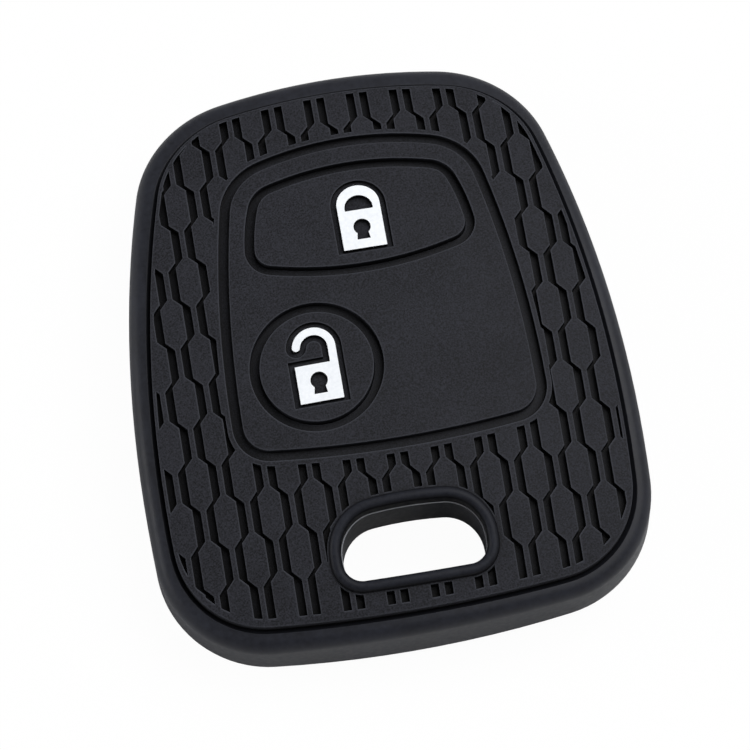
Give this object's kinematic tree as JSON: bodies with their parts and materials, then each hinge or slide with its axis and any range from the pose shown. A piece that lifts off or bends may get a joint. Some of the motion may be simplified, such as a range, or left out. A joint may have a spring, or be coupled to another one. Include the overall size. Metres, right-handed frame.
{
  "type": "key fob cover",
  "caption": "Soft silicone sleeve for a car key head, with a domed hexagon-chain grip face, a beaded key-ring slot and flexing lock and unlock buttons with white padlock inlays.",
  "frame": {"origin": "under the middle of the cover, on the flat of the back", "axes": "+X to the right seen from the buttoned face, +Y towards the blade mouth, +Z out of the face"},
  "size_m": [0.05, 0.0596, 0.013],
  "materials": {
    "black_silicone": "matte fine grain",
    "white_silicone": "satin"
  },
  "bodies": {
    "sleeve": {"sleeve_body": "black_silicone", "front_face": "black_silicone", "lock_web": "black_silicone", "unlock_web": "black_silicone"},
    "lock_cap": {"lock_button": "black_silicone", "lock_icon": "white_silicone"},
    "unlock_cap": {"unlock_button": "black_silicone", "unlock_icon": "white_silicone"}
  },
  "joints": [
    {"name": "lock_press", "type": "slide", "parent": "sleeve", "child": "lock_cap", "axis": [0, 0, -1], "range_m": [0, 0.0006], "stiffness_N_per_m": 3000, "deforming": ["lock_web"]},
    {"name": "unlock_press", "type": "slide", "parent": "sleeve", "child": "unlock_cap", "axis": [0, 0, -1], "range_m": [0, 0.0006], "stiffness_N_per_m": 3000, "deforming": ["unlock_web"]}
  ]
}
